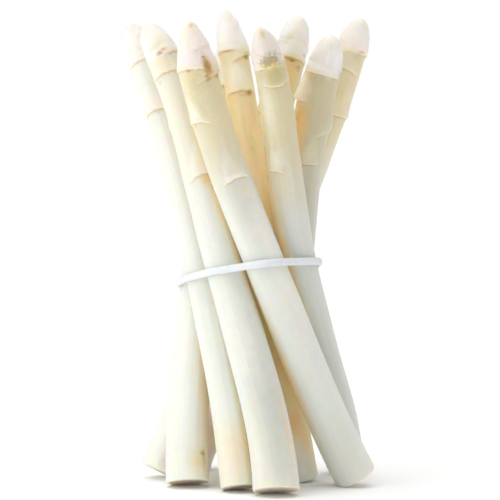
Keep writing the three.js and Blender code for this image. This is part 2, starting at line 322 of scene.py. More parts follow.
class Axis:
    """A spear's axis: the polynomial in height through its placed points and tip, by length."""

    def __init__(self, spear):
        self.heights = (*PLACED_HEIGHTS, spear.tip[2])
        self.places = (*spear.places, spear.tip[:2])
        near_foot = self.plan(np.array([0.0, SLOPE_STEP]))
        slope = np.linalg.norm(near_foot[1] - near_foot[0]) / SLOPE_STEP
        lowest = spear.radii[0] * math.sin(math.atan(slope)) - FOOT_FLAT_DEPTH
        height = np.linspace(lowest, spear.tip[2], AXIS_STEPS)
        self.points = np.column_stack([self.plan(height), height])
        steps = np.linalg.norm(np.diff(self.points, axis=0), axis=1)
        self.run = np.concatenate([[0.0], np.cumsum(steps)])
        self.length = self.run[-1]
        self.tangents = unit(np.gradient(self.points, self.run, axis=0))

    def plan(self, height):
        """Where the axis is in plan at each height."""
        place = np.zeros((len(height), 2))
        for index, own in enumerate(self.heights):
            weight = np.ones(len(height))
            for other_index, other in enumerate(self.heights):
                if other_index != index:
                    weight *= (height - other) / (own - other)
            place += weight[:, None] * np.array(self.places[index], float)
        return place

    def at(self, from_apex):
        """Points and directions of the axis so far down from the apex."""
        run = self.length - np.asarray(from_apex, float)
        point = np.stack([np.interp(run, self.run, self.points[:, i]) for i in range(3)], -1)
        along = np.stack([np.interp(run, self.run, self.tangents[:, i]) for i in range(3)], -1)
        return point, unit(along)

    def beside(self, from_apex, turn, distance):
        """Points at this turn, in degrees, and distance from the axis."""
        point, along = self.at(from_apex)
        across = unit(np.array([1.0, 0.0, 0.0]) - along * along[..., :1])
        inward = np.cross(along, across)
        angle = np.radians(turn)[..., None]
        reach = np.asarray(distance)[..., None]
        return point + reach * (across * np.cos(angle) + inward * np.sin(angle))


def stalk_radius(spear, length, from_apex):
    """The bare stalk's radius: smoothly through the spear's three, rounded off by the bud."""
    root, half_way, neck = spear.radii
    up = np.clip((length - from_apex) / (length - spear.bud_length), 0.0, 1.0)
    body = root * (1 - up) * (1 - 2 * up) + half_way * 4 * up * (1 - up) + neck * up * (2 * up - 1)
    bud = np.clip(from_apex / spear.bud_length, 0.0, 1.0)
    return body * (1.0 - (1.0 - bud) ** 2) ** spear.bud_shape


def skin_grid(from_apex, columns):
    """Every place on a spear where these rows and evenly spread turns meet."""
    turn = np.arange(columns) * 360.0 / columns
    return np.broadcast_arrays(from_apex[:, None], turn[None, :])


def grid_faces(rows, columns, closed=False):
    """Faces between rings of points, from each to the next, and back to the first if closed."""
    ring = np.arange(rows if closed else rows - 1)[:, None]
    place = np.arange(columns)
    after, beside = (ring + 1) % rows, (place + 1) % columns
    return np.stack([ring * columns + place, after * columns + place,
                     after * columns + beside, ring * columns + beside], -1).reshape(-1, 4)


def new_mesh(name, points, faces):
    """A smooth mesh from points in millimetres."""
    mesh = bpy.data.meshes.new(name)
    mesh.from_pydata((points * MM).tolist(), [], faces)
    mesh.shade_smooth()
    return mesh


def add_attribute(mesh, name, values):
    """A value for each point of a mesh."""
    attribute = mesh.attributes.new(name, "FLOAT", "POINT")
    attribute.data.foreach_set("value", values.astype(np.float32))


def add_grown_places(mesh, places):
    """The place of each point before its piece was bent, which the grain of its finish follows."""
    attribute = mesh.attributes.new("grown", "FLOAT_VECTOR", "POINT")
    attribute.data.foreach_set("vector", places.astype(np.float32).reshape(-1))


def place_piece(mesh, slot, *nodes):
    """Links the finished mesh as a piece of the bundle that stands for these solids."""
    for node in nodes:
        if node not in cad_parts:
            raise RuntimeError(f"the frame has no solid named {node}")
    piece = bpy.data.objects.new(mesh.name, mesh)
    bpy.context.scene.collection.objects.link(piece)
    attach(piece, BODY)
    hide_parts(*nodes)


# ================================ the scale leaves ================================

# Wandering of a leaf's base line and of its upper edges, which runs round the leaf alone, and
# how much of each shows.
BASE_LINE_WAVES = (5, 26, (50.0, 60.0))
UPPER_EDGE_WAVES = (6, 30, (50.0, 60.0))
BASE_LINE_SHARE = 0.35
UPPER_EDGE_SHARE = 0.8

# The base is a rounded ledge. The upper edges are thin, with only a faint step. The powers say
# how the leaf thins from its base up to its tip, and from its middle round to its sides. The
# least height and radius keep its sums sound in its corners and at the apex.
EDGE_LIFT = 0.35
UPWARD_POWER = 0.6
SIDEWARD_POWER = 3
FLARE_WIDTH = 26.0
LEDGE_DEPTH = 0.8
LEDGE_ROUNDNESS = 2.5
UPPER_EDGE_THINNESS = 0.25
UPPER_EDGE_REACH = 3.6
COVER_REACH = 0.5
LEAST_HEIGHT = 0.5
LEAST_RADIUS = 1.0

# The dried line along the upper edges, the pale lip on the ledge, partly a painted highlight, and
# the painted shade below it, partly real browning; these last two end at the leaf's sides.
RIM_REACH = 0.5
LIP_REACH = 0.5
SHADE_REACH = 0.7
SHADE_OVER_LEDGE = 0.25
END_POWER = 4
# How much a leaf hides of the rim beneath it, and how much of its own colour is gone at its tip.
RIM_HIDDEN = 0.7
TIP_FADING = 0.9

# What takes the place of a distance to a leaf's edge where the leaf doesn't reach.
CLEAR_OF_LEAF = 9.0


@dataclass
class LaidLeaf:
    """One leaf at each point of the skin: its height, how far it covers the stalk, its rim, its
    lip with its painted highlight, the painted shade under its ledge, and how far up the leaf the
    point is, from 0 to 1."""
    height: np.ndarray
    cover: np.ndarray
    rim: np.ndarray
    pale_lip_and_highlight: np.ndarray
    under: np.ndarray
    up: np.ndarray


def lay_leaf(own, turn, from_apex, radius, rng, raggedness):
    """Lays one leaf on the stalk."""
    apart = turned_apart(turn, own.turn) / own.half_wrap
    clasping = np.abs(apart) < 1.0
    side = np.clip(np.abs(apart), 0.0, 1.0)
    closing = side ** (1.0 / own.pointedness)
    level = 0 * from_apex
    nibbled = raggedness * waves(turn, level, rng, *BASE_LINE_WAVES)
    frayed = raggedness * waves(turn, level, rng, *UPPER_EDGE_WAVES)
    base_line = own.base + own.base_arch * side ** 2 + BASE_LINE_SHARE * nibbled
    top_line = (own.base + own.base_arch * closing - own.length * (1.0 - closing)
                + UPPER_EDGE_SHARE * frayed * (1.0 - side))
    slope = ((own.base_arch + own.length) * side ** (1.0 / own.pointedness - 1.0)
             / own.pointedness)
    slope /= np.radians(own.half_wrap) * np.maximum(radius, LEAST_RADIUS)
    above_base = np.where(clasping, base_line - from_apex, -CLEAR_OF_LEAF)
    below_top = np.where(clasping, (from_apex - top_line) / np.sqrt(1.0 + slope ** 2),
                         -CLEAR_OF_LEAF)
    cover = smooth_step(0.0, COVER_REACH, np.minimum(above_base, below_top))
    up = np.clip(above_base / np.maximum(base_line - top_line, LEAST_HEIGHT), 0.0, 1.0)

    lift = own.base_lift + (own.tip_lift - own.base_lift) * up ** UPWARD_POWER
    lift = lift + (EDGE_LIFT - lift) * side ** SIDEWARD_POWER
    flaring = bell(turned_apart(turn, own.flare_turn) / FLARE_WIDTH)
    lift = lift + own.flare * flaring * (1.0 - up) ** 2
    ledge = 1.0 - (1.0 - np.clip(above_base / LEDGE_DEPTH, 0.0, 1.0)) ** LEDGE_ROUNDNESS
    thin = (UPPER_EDGE_THINNESS
            + (1.0 - UPPER_EDGE_THINNESS) * smooth_step(0.0, UPPER_EDGE_REACH, below_top))

    off_sides = 1.0 - side ** END_POWER
    rim = own.stain * cover * bell(np.clip(below_top, 0.0, CLEAR_OF_LEAF) / RIM_REACH)
    # A pale lip on the ledge, partly a painted highlight where its rounding catches the light.
    pale_lip_and_highlight = own.stain * cover * bell((above_base - LIP_REACH) / LIP_REACH) * off_sides
    # Painted shade just below the ledge, with some real browning.
    below = from_apex - base_line
    shaded = bell(np.maximum(below, 0.0) / SHADE_REACH) * (below > -SHADE_OVER_LEDGE)
    under = own.stain * np.where(clasping, shaded, 0.0) * off_sides
    return LaidLeaf(lift * ledge * thin * cover, cover, rim, pale_lip_and_highlight, under, up)


def lay_leaves(leaves, turn, from_apex, radius, rng, raggedness):
    """All the leaves laid over each other: their height, and masks for their looks."""
    height, leafy, tone, rim, pale_lip_and_highlight, under = (np.zeros(from_apex.shape) for _ in range(6))
    for own in leaves:
        laid = lay_leaf(own, turn, from_apex, radius, rng, raggedness)
        height = np.sqrt(height ** 2 + laid.height ** 2)
        tone = tone + (rng.uniform(-1.0, 1.0) - tone) * laid.cover * (1.0 - laid.up)
        pale_lip_and_highlight = np.maximum(pale_lip_and_highlight * (1.0 - laid.cover), laid.pale_lip_and_highlight)
        under = np.maximum(under * (1.0 - laid.cover), laid.under)
        rim = np.maximum(rim * (1.0 - RIM_HIDDEN * laid.cover), laid.rim)
        leafy = np.maximum(leafy, laid.cover * (1.0 - TIP_FADING * laid.up))
    return height, {"leaf": leafy, "tone": tone, "rim": rim, "pale_lip_and_highlight": pale_lip_and_highlight, "under": under}


# ================================ the skin of a spear ================================

# How finely a skin is meshed: close rows at the apex and over the leaves, then wide ones down
# to the rounded rim of the cut, and rings across the cut.
COLUMNS = 120
APEX_ROWS = 10
APEX_REACH = 2.0
LEAFY_REACH = 84.0
LEAFY_STEP = 0.42
BODY_STEP = 2.4
CUT_RIM_REACH = 1.2
CUT_RIM_ROWS = 7
CUT_RINGS = 14

# The peeler's long flat strips: how many, how far and how their edges wander, and from where down
# they show. A strip's middle lies inside the round section by about this share of the radius.
STRIPS = 11
STRIP_WANDER = 9.0
STRIP_WAVES = (4, 2, (90.0, 260.0))
STRIPS_SHOW = (26.0, 60.0)
STRIP_FLATNESS = 0.04

# Slow swells and fine ribs down the stalk, which come in below the bud, and the small swelling
# where each leaf grows.
SWELL_WAVES = (9, 3, (24.0, 150.0))
RIB_WAVES = (7, 34, (160.0, 400.0))
SWELLS_SHOW = (4.0, 30.0)
LEAF_SWELLING = 0.12
LEAF_SWELLING_REACH = 4.0

# The cut: how far its rim is rounded in, how hollow it has dried, and how uneven it is.
CUT_RIM_ROUNDING = 0.45
CUT_HOLLOW = 0.35
CUT_UNEVENNESS = 0.12
CUT_WAVES = (6, 5, (40.0, 90.0))
CUT_WAVES_PER_RADIUS = 9
CUT_COLOUR_REACH = 0.5

# How steeply a mark falls off from its middle, and the least radius that its width goes by.
MARK_STEEPNESS = 0.8
MARK_RADIUS = 2.0


def skin_rows(length):
    """How far down from the apex each ring of points lies."""
    apex = APEX_REACH * (np.arange(1, APEX_ROWS + 1) / APEX_ROWS) ** 2
    leafy = np.arange(APEX_REACH + LEAFY_STEP, LEAFY_REACH, LEAFY_STEP)
    body = np.arange(LEAFY_REACH, length - CUT_RIM_REACH, BODY_STEP)
    rim = length - CUT_RIM_REACH * (1.0 - np.arange(1, CUT_RIM_ROWS + 1) / CUT_RIM_ROWS) ** 2
    return np.concatenate([apex, leafy, body, rim])


def peeled_section(turn, from_apex, rng):
    """How far the peeler's strips lie inside the round section, as a share of the radius."""
    wander = STRIP_WANDER * waves(turn, from_apex, rng, *STRIP_WAVES)
    within = (turn + wander) % (360.0 / STRIPS) - 180.0 / STRIPS
    flatness = 1.0 - math.cos(math.pi / STRIPS) / np.cos(np.radians(within))
    return np.clip(flatness, 0.0, 1.0) * smooth_step(*STRIPS_SHOW, from_apex)


def stalk_relief(leaves, turn, from_apex, rng, shape):
    """How far the bare stalk stands off its round section."""
    relief = -shape.peel_depth / MM * peeled_section(turn, from_apex, rng) / STRIP_FLATNESS
    below_bud = smooth_step(*SWELLS_SHOW, from_apex)
    for size, kind in ((shape.waviness, SWELL_WAVES), (shape.rib_depth, RIB_WAVES)):
        relief = relief + size / MM * below_bud * waves(turn, from_apex, rng, *kind)
    for own in leaves:
        swelling = bell((from_apex - own.base) / LEAF_SWELLING_REACH)
        relief = relief + LEAF_SWELLING * swelling * own.stain
    return relief


def cut_face(axis, turn, edge, rng):
    """The cut as rings drawn in to its middle: their points, turns and radii, and the middle."""
    share = (1.0 - np.arange(1, CUT_RINGS + 1) / (CUT_RINGS + 1))[:, None]
    turns = np.broadcast_to(turn, (CUT_RINGS, COLUMNS))
    radii = share * edge
    uneven = waves(turns, radii * CUT_WAVES_PER_RADIUS, rng, *CUT_WAVES)
    hollow = CUT_HOLLOW * (1.0 - share ** 2) + CUT_UNEVENNESS * uneven
    middle, along = axis.at(axis.length)
    rings = axis.beside(axis.length + 0 * radii, turns, radii) + hollow[..., None] * along
    return rings, turns, radii, middle + CUT_HOLLOW * along


def ring_faces(count):
    """Faces that join rings of points from the top down, and close them to a point at each end,
    which come after all the rings."""
    last, top = (count - 1) * COLUMNS, count * COLUMNS
    pairs = [(place, (place + 1) % COLUMNS) for place in range(COLUMNS)]
    return [*grid_faces(count, COLUMNS).tolist(), *((a, b, top) for a, b in pairs),
            *((last + b, last + a, top + 1) for a, b in pairs)]


def mark_masks(spear, turn, from_apex, radius):
    """A soft mask for each kind of mark."""
    masks = {kind: np.zeros(turn.shape) for kind in MARK_KINDS}
    for kind, marks in spear.marks.items():
        for below_apex, facing, tall, wide, strength in marks:
            down = (from_apex - below_apex) / (0.5 * tall)
            aside = np.radians(turned_apart(turn, facing)) * np.maximum(radius, MARK_RADIUS)
            aside = aside / (0.5 * wide)
            mask = strength * np.exp(-(down ** 2 + aside ** 2) * MARK_STEEPNESS)
            masks[kind] = np.maximum(masks[kind], mask)
    return masks


def spear_mesh(spear, axis, skins, seed, shape):
    """The whole skin of a spear with its cut face, and what its finish reads from each point."""
    rng = np.random.default_rng(seed)
    from_apex, turn = skin_grid(skin_rows(axis.length), COLUMNS)
    radius = stalk_radius(spear, axis.length, from_apex)
    leaves = leaves_of(spear)
    relief = stalk_relief(leaves, turn, from_apex, rng, shape)
    height, masks = lay_leaves(leaves, turn, from_apex, radius, rng, shape.raggedness)
    to_cut = axis.length - from_apex
    near_rim = 1.0 - np.clip(to_cut / CUT_RIM_REACH, 0.0, 1.0)
    rounded = CUT_RIM_ROUNDING * (1.0 - np.sqrt(1.0 - near_rim ** 2))
    skin = radius + relief + height - rounded
    rings, face_turn, face_radius, middle = cut_face(axis, turn[:1], skin[-1:], rng)
    rows = np.concatenate([axis.beside(from_apex, turn, skin), rings])
    rows[..., 2] = np.maximum(rows[..., 2], 0.0)
    apex, _ = axis.at(0.0)
    points = np.concatenate([rows.reshape(-1, 3), [apex], [middle]])
    mesh = new_mesh(spear.node + "_skin", points, ring_faces(len(rows)))

    def add_mask(name, values, on_face=0.0, on_middle=0.0):
        face = np.broadcast_to(on_face, (CUT_RINGS, COLUMNS))
        values = np.concatenate([values, face]).reshape(-1)
        add_attribute(mesh, name, np.concatenate([values, [0.0, on_middle]]))

    masks.update(mark_masks(spear, turn, from_apex, radius))
    for name, values in masks.items():
        add_mask(name, values)
    # How far the other spears shut each point in, which drives the painted glow in the gaps.
    sheltered = spread_over(shelter(spear, axis, skins), axis.length, from_apex, turn)
    add_mask("shelter", sheltered, sheltered[-1:])
    add_mask("cut", smooth_step(CUT_COLOUR_REACH, 0.0, to_cut), 1.0, 1.0)

    # where each point would be on a straight spear, z down from the apex
    angle = np.radians(np.concatenate([turn, face_turn]))
    reach = np.concatenate([radius, face_radius])
    down = np.concatenate([from_apex, np.full(face_turn.shape, axis.length)])
    grown = np.stack([reach * np.cos(angle), reach * np.sin(angle), down], -1).reshape(-1, 3)
    add_grown_places(mesh, np.concatenate([grown, [[0, 0, 0]], [[0, 0, axis.length]]]))
    return mesh


# ================================ occlusion for the painted glow ============================

# How coarsely the occlusion that drives the painted glow is felt out, and how far.
SHELTER_START = 0.5
SHELTER_STEP = 4.0
SHELTER_COLUMNS = 20
SHELTER_RAYS = 24
SHELTER_REACH = 70.0
RAY_TURN_STEP = 137.5


def coarse_skin(spear, axis):
    """Places on a plain skin of the spear, on a coarse grid of rows and turns."""
    rows = math.ceil(axis.length / SHELTER_STEP) + 1
    from_apex, turn = skin_grid(np.linspace(SHELTER_START, axis.length, rows),
                                SHELTER_COLUMNS)
    radius = stalk_radius(spear, axis.length, from_apex)
    return from_apex, axis.beside(from_apex, turn, radius)


def all_skins(grown):
    """Every plain skin in one tree, for feeling out what stands over a point."""
    points, faces = [], []
    for spear, axis in grown:
        _, skin = coarse_skin(spear, axis)
        faces += (len(points) + grid_faces(*skin.shape[:2])).tolist()
        points += skin.reshape(-1, 3).tolist()
    return BVHTree.FromPolygons(points, faces)


def shelter(spear, axis, skins):
    """How much of what each coarse place could see is other spears: 0 open, 1 shut in."""
    from_apex, skin = coarse_skin(spear, axis)
    middle, along = axis.at(from_apex)
    out = unit(skin - middle)
    across = np.cross(out, along)
    ray = np.arange(SHELTER_RAYS)
    lean = np.sqrt((ray + 0.5) / SHELTER_RAYS)
    spin = ray * math.radians(RAY_TURN_STEP)
    directions = (out[:, :, None] * np.sqrt(1 - lean ** 2)[:, None]
                  + along[:, :, None] * (lean * np.cos(spin))[:, None]
                  + across[:, :, None] * (lean * np.sin(spin))[:, None])
    hidden = [sum(skins.ray_cast(start, direction, SHELTER_REACH)[0] is not None
                  for direction in fan)
              for start, fan in zip((skin + out).reshape(-1, 3).tolist(),
                                    directions.reshape(-1, SHELTER_RAYS, 3).tolist())]
    return np.array(hidden).reshape(from_apex.shape) / SHELTER_RAYS


def spread_over(coarse, length, from_apex, turn):
    """The coarse values carried smoothly over the fine rows and turns."""
    row = np.clip(from_apex / length, 0.0, 1.0) * (coarse.shape[0] - 1)
    column = turn / 360.0 * SHELTER_COLUMNS
    row_index = np.minimum(row.astype(int), coarse.shape[0] - 2)
    column_index = column.astype(int) % SHELTER_COLUMNS
    next_column = (column_index + 1) % SHELTER_COLUMNS
    down, over = row - row_index, column - np.floor(column)
    upper = coarse[row_index, column_index] * (1 - over) + coarse[row_index, next_column] * over
    lower = (coarse[row_index + 1, column_index] * (1 - over)
             + coarse[row_index + 1, next_column] * over)
    return upper * (1 - down) + lower * down


# ================================ the tie ================================

# The tie's plane, by its height on the bundle's axis and its slopes; half of the cord's
# thickness and width; and how deep it presses into the spears.
TIE_HEIGHT = 95.0
TIE_RISE_TO_RIGHT = 0.124
TIE_RISE_TO_FRONT = 0.163
TIE_HALF_THICKNESS = 1.3
TIE_HALF_WIDTH = 1.7
TIE_PRESS = 0.05

# The loop's steps, the sides of its section, how often its corners are eased, how much of its
# thickness is left where it bears on the spears, and how it swells and thins.
TIE_STEPS = 420
TIE_SIDES = 28
TIE_EASINGS = 4
TIE_INNER_SHARE = 0.82
TIE_WAVES = (8, 24, (9, 10))
TIE_SEED = 5

# How finely a spear's crossing with the tie's plane is found.
CROSSING_TURN_STEP = 4.0
CROSSING_ROUNDS = 20


def tie_normal():
    """The upward normal of the tie's plane."""
    return unit(np.array([-TIE_RISE_TO_RIGHT, TIE_RISE_TO_FRONT, 1.0]))


def tie_crossing(spear, stand_off):
    """Where a spear, thickened by stand_off, crosses the tie's plane."""
    axis = Axis(spear)
    normal = tie_normal()
    middle = np.array([0.0, 0.0, TIE_HEIGHT])
    from_apex = axis.length / 2
    for _ in range(CROSSING_ROUNDS):
        point, _ = axis.at(from_apex)
        from_apex += (point - middle) @ normal
    turn = np.arange(0.0, 360.0, CROSSING_TURN_STEP)
    distance = stalk_radius(spear, axis.length, np.array(from_apex)) + stand_off
    points = axis.beside(np.full(turn.shape, from_apex), turn, np.full(turn.shape, distance))
    _, along = axis.at(from_apex)
    slide = -((points - middle) @ normal) / (along @ normal)
    return points + slide[:, None] * along


def taut_outline(points):
    """The taut outline round the points, seen in plan, anticlockwise."""
    ordered = sorted(map(tuple, points))

    def half(chain_points):
        chain = []
        for point in chain_points:
            while len(chain) > 1:
                ahead = (chain[-1][0] - chain[-2][0], chain[-1][1] - chain[-2][1])
                onward = (point[0] - chain[-2][0], point[1] - chain[-2][1])
                if ahead[0] * onward[1] - ahead[1] * onward[0] > 0:
                    break
                chain.pop()
            chain.append(point)
        return chain[:-1]

    return np.array(half(ordered) + half(ordered[::-1]))


def even_loop(corners, steps):
    """Points at even steps round a closed outline."""
    closed = np.concatenate([corners, corners[:1]])
    run = np.concatenate([[0.0], np.cumsum(np.linalg.norm(np.diff(closed, axis=0), axis=1))])
    wanted = np.arange(steps) * run[-1] / steps
    return np.stack([np.interp(wanted, run, closed[:, i]) for i in range(3)], -1)


def tie_loop():
    """The middle line of the elastic, taut round the spears."""
    stand_off = TIE_HALF_THICKNESS - TIE_PRESS
    corners = taut_outline(np.concatenate([tie_crossing(spear, stand_off) for spear in SPEARS]))
    loop = even_loop(corners, TIE_STEPS)
    for _ in range(TIE_EASINGS):
        loop = 0.5 * loop + 0.25 * (np.roll(loop, 1, 0) + np.roll(loop, -1, 0))
    return loop


def tie_mesh(shape):
    """The elastic: an oval cord pressed a little flat where it bears on the spears."""
    loop = tie_loop()
    along = unit(np.roll(loop, -1, 0) - np.roll(loop, 1, 0))
    normal = tie_normal()
    outward = np.cross(along, normal)
    angle = (np.arange(TIE_SIDES) * 2 * math.pi / TIE_SIDES)[None, :]
    thickness = TIE_HALF_THICKNESS * np.cos(angle)
    thickness = np.where(thickness < 0, TIE_INNER_SHARE * thickness, thickness)
    width = TIE_HALF_WIDTH * np.sin(angle)
    turn = 360.0 * (np.arange(TIE_STEPS) / TIE_STEPS)[:, None]
    uneven = waves(turn, 0 * turn, np.random.default_rng(TIE_SEED), *TIE_WAVES)
    swelling = 1.0 + shape.tie_unevenness * uneven
    points = loop[:, None] + (swelling * thickness)[..., None] * outward[:, None]
    points = points + (swelling * width)[..., None] * normal
    faces = grid_faces(TIE_STEPS, TIE_SIDES, closed=True)
    mesh = new_mesh("elastic_tie", points.reshape(-1, 3), faces.tolist())

    # where each point would be on a straight cord, x along it
    run = np.cumsum(np.linalg.norm(np.roll(loop, -1, 0) - loop, axis=1))[:, None]
    grown = np.stack(np.broadcast_arrays(run, np.cos(angle), np.sin(angle)), -1)
    add_grown_places(mesh, grown)
    return mesh


# ================================ shader helpers ================================

SOCKET_TYPES = {"value": "NodeSocketFloat", "colour": "NodeSocketColor",
                "vector": "NodeSocketVector"}
# A Mix node's sockets for colours go by number, because several of its sockets share a name.
MIX_AMOUNT, MIX_UNDER, MIX_OVER, MIX_RESULT = 0, 6, 7, 2


def feed(tree, node, sources):
    """Feeds a node's inputs, by name or number, from sockets or with plain values."""
    for name, source in dict(sources).items():
        if isinstance(source, bpy.types.NodeSocket):
            tree.links.new(source, node.inputs[name])
        else:
            node.inputs[name].default_value = source


def add_node(tree, kind, choices=(), sources=()):
    """A shader node with its choices set and its inputs fed."""
    node = tree.nodes.new("ShaderNode" + kind)
    for name, choice in dict(choices).items():
        setattr(node, name, choice)
    feed(tree, node, sources)
    return node


def new_group(name, inputs, outputs):
    """An empty shader node group, the sockets that it is given, and the node that its results
    leave by."""
    group = bpy.data.node_groups.new(name, "ShaderNodeTree")
    for label, kind, default in inputs:
        socket = group.interface.new_socket(label, in_out="INPUT", socket_type=SOCKET_TYPES[kind])
        if default is not None:
            socket.default_value = default
    for label, kind in outputs:
        group.interface.new_socket(label, in_out="OUTPUT", socket_type=SOCKET_TYPES[kind])
    return group, group.nodes.new("NodeGroupInput").outputs, group.nodes.new("NodeGroupOutput")


def use_group(tree, group, **values):
    """The outputs of a placed group, whose inputs are named with underscores for spaces."""
    sources = {label.replace("_", " ").capitalize(): value for label, value in values.items()}
    return add_node(tree, "Group", {"node_tree": group}, sources).outputs


def math_node(tree, operation, *values, kind="Math"):
    """The result of a Math node, or of a VectorMath one."""
    return add_node(tree, kind, {"operation": operation}, enumerate(values)).outputs[0]


def scaled(tree, value, share):
    """A share of a value."""
    return math_node(tree, "MULTIPLY", value, share)


def fade(tree, value, low, high, to_low=0.0, to_high=1.0):
    """A smooth change from to_low to to_high as the value goes from low to high."""
    node = add_node(tree, "MapRange", {"interpolation_type": "SMOOTHSTEP"}, {
        "Value": value, "From Min": low, "From Max": high, "To Min": to_low, "To Max": to_high})
    return node.outputs["Result"]


def blend_colour(tree, amount, under, over):
    """One colour covered by an amount of another."""
    node = add_node(tree, "Mix", {"data_type": "RGBA"},
                    {MIX_AMOUNT: amount, MIX_UNDER: under, MIX_OVER: over})
    return node.outputs[MIX_RESULT]


def noise(tree, place, scale, detail, roughness, distortion=0.0):
    """Soft noise between 0 and 1, the finer the greater its scale."""
    node = add_node(tree, "TexNoise", (), {
        "Vector": place, "Scale": scale, "Detail": detail, "Roughness": roughness,
        "Distortion": distortion})
    return node.outputs["Fac"]


def stretch(tree, place, across, along):
    """The place scaled across and along the grain."""
    scale = add_node(tree, "CombineXYZ", (), enumerate((across, across, along)))
    return math_node(tree, "MULTIPLY", place, scale.outputs[0], kind="VectorMath")


def attribute_of(tree, name, output="Fac"):
    """What the mesh says at each point under this name."""
    return add_node(tree, "Attribute", {"attribute_name": name}).outputs[output]


def bump(tree, height, strength, distance, beneath=None):
    """A normal bent by a height, over another bump's if there is one."""
    sources = {"Strength": strength, "Distance": distance, "Height": height}
    if beneath is not None:
        sources["Normal"] = beneath
    return add_node(tree, "Bump", (), sources).outputs["Normal"]


def opaque(colour):
    """A colour with its alpha, as a socket takes it."""
    return (*colour, 1.0)


def mixed(first, second, share):
    """One colour moved by a share towards another."""
    return tuple(a + (b - a) * share for a, b in zip(first, second))


# ================================ shared effects ================================

def fibre_group():
    """Long fibres under a waxy skin: a fine height for the bump and a soft streak mask."""
    group, given, leave = new_group("Long fibres", [
        ("Place", "vector", None), ("Across", "value", 1.0), ("Along", "value", 0.06)],
        [("Height", "value"), ("Streak", "value")])
    fine = stretch(group, given["Place"], given["Across"], given["Along"])
    fibres = noise(group, fine, scale=2.2, detail=5.0, roughness=0.6)
    broad = stretch(group, given["Place"], across=0.28, along=0.02)
    streaks = noise(group, broad, scale=1.0, detail=4.0, roughness=0.6, distortion=0.3)
    pores = noise(group, given["Place"], scale=2.6, detail=2.0, roughness=0.5)
    feed(group, leave, {"Height": math_node(group, "MULTIPLY_ADD", pores, 0.25, fibres),
                        "Streak": fade(group, streaks, low=0.42, high=0.66)})
    return group


# A patch shows from this level up, and is full this much above its softness. It shows nowhere
# that its mask is fainter than the first of two values, and freely past the second.
PATCH_LEVEL = 0.12
PATCH_RISE = 0.3
FAINT_MASK = (0.02, 0.15)


def patch_group():
    """Ragged patches where a soft mask passes a noisy threshold."""
    group, given, leave = new_group("Ragged patch", [
        ("Place", "vector", None), ("Mask", "value", 0.0), ("Grain", "value", 0.6),
        ("Raggedness", "value", 0.6), ("Softness", "value", 0.25)], [("Patch", "value")])
    grain = noise(group, given["Place"], given["Grain"], detail=5.0, roughness=0.62,
                  distortion=0.4)
    swing = scaled(group, math_node(group, "SUBTRACT", grain, 0.5), given["Raggedness"])
    level = math_node(group, "MULTIPLY_ADD", swing, 2.0, given["Mask"])
    full = math_node(group, "ADD", given["Softness"], PATCH_RISE)
    shown = fade(group, given["Mask"], *FAINT_MASK)
    feed(group, leave, {"Patch": scaled(group, fade(group, level, PATCH_LEVEL, full), shown)})
    return group


# Where the ground colour changes: the bud's point, the paling stalk and the peeled strips by
# how far they are below the apex, the bud's end by how far past it, and the root by how far up
# from the cut. Noise shifts these borders up and down by up to half of the shifts.
BUD_POINT_ENDS = (1.0, 9.0)
STALK_PALES = (46.0, 100.0)
STRIPS_COLOUR = (40.0, 80.0)
BUD_ENDS = (-3.0, 2.0)
ROOT_TANS = (36.0, 20.0)
BORDER_SHIFT = 7.0
PALING_SHIFT = 45.0
# How occluded the skin is where the painted glow comes in, how far noise shifts that, and how far
# past the bud's end the painted glow sets in.
GLOW_OCCLUSION = (0.3, 0.85)
GLOW_SHIFT = 0.25
GLOW_BELOW_BUD = (-8.0, 4.0)


def growth_group():
    """The ground colour from the bud down to the root, with a painted glow: a warm tint where
    other spears shut the skin in, standing in for light bounced and scattered between them.
    """
    group, given, leave = new_group("Growth colour", [
        ("Place", "vector", None), ("From apex", "value", 0.0), ("Length", "value", 215.0),
        ("Bud end", "value", 18.0), ("Shelter", "value", 0.0), ("Bud", "colour", None),
        ("Bud point", "colour", None), ("Upper", "colour", None), ("Lower", "colour", None),
        ("Root", "colour", None), ("Sheltered", "colour", None), ("Warmth", "value", 0.5),
        ("Tan root", "value", 0.3), ("Glow", "value", 1.0)],
        [("Colour", "colour"), ("Peeled", "value")])
    place = given["Place"]
    ragged = noise(group, stretch(group, place, across=0.2, along=0.06), scale=1.0, detail=3.0,
                   roughness=0.55)
    swing = math_node(group, "SUBTRACT", ragged, 0.5)
    down = math_node(group, "MULTIPLY_ADD", swing, BORDER_SHIFT, given["From apex"])
    past_bud = math_node(group, "SUBTRACT", down, given["Bud end"])
    to_cut = math_node(group, "SUBTRACT", given["Length"], down)

    bud = blend_colour(group, fade(group, down, *BUD_POINT_ENDS), given["Bud point"],
                       given["Bud"])
    upper = blend_colour(group, given["Warmth"], given["Lower"], given["Upper"])
    colour = blend_colour(group, fade(group, past_bud, *BUD_ENDS), bud, upper)
    paling = math_node(group, "MULTIPLY_ADD", swing, PALING_SHIFT, given["From apex"])
    colour = blend_colour(group, fade(group, paling, *STALK_PALES), colour, given["Lower"])
    tanned = scaled(group, fade(group, to_cut, *ROOT_TANS), given["Tan root"])
    colour = blend_colour(group, tanned, colour, given["Root"])
    # Painted glow: a warm tint where other spears shut the skin in, standing in for light bounced
    # and scattered between them.
    deep = math_node(group, "MULTIPLY_ADD", swing, GLOW_SHIFT, given["Shelter"])
    deep = scaled(group, fade(group, deep, *GLOW_OCCLUSION),
                  fade(group, past_bud, *GLOW_BELOW_BUD))
    deep = scaled(group, deep, given["Glow"])
    colour = blend_colour(group, deep, colour, given["Sheltered"])

    strips = noise(group, stretch(group, place, across=0.17, along=0.009), scale=1.0, detail=2.0,
                   roughness=0.45, distortion=0.15)
    peeled = scaled(group, fade(group, strips, low=0.46, high=0.6),
                    fade(group, down, *STRIPS_COLOUR))
    feed(group, leave, {"Colour": colour, "Peeled": peeled})
    return group


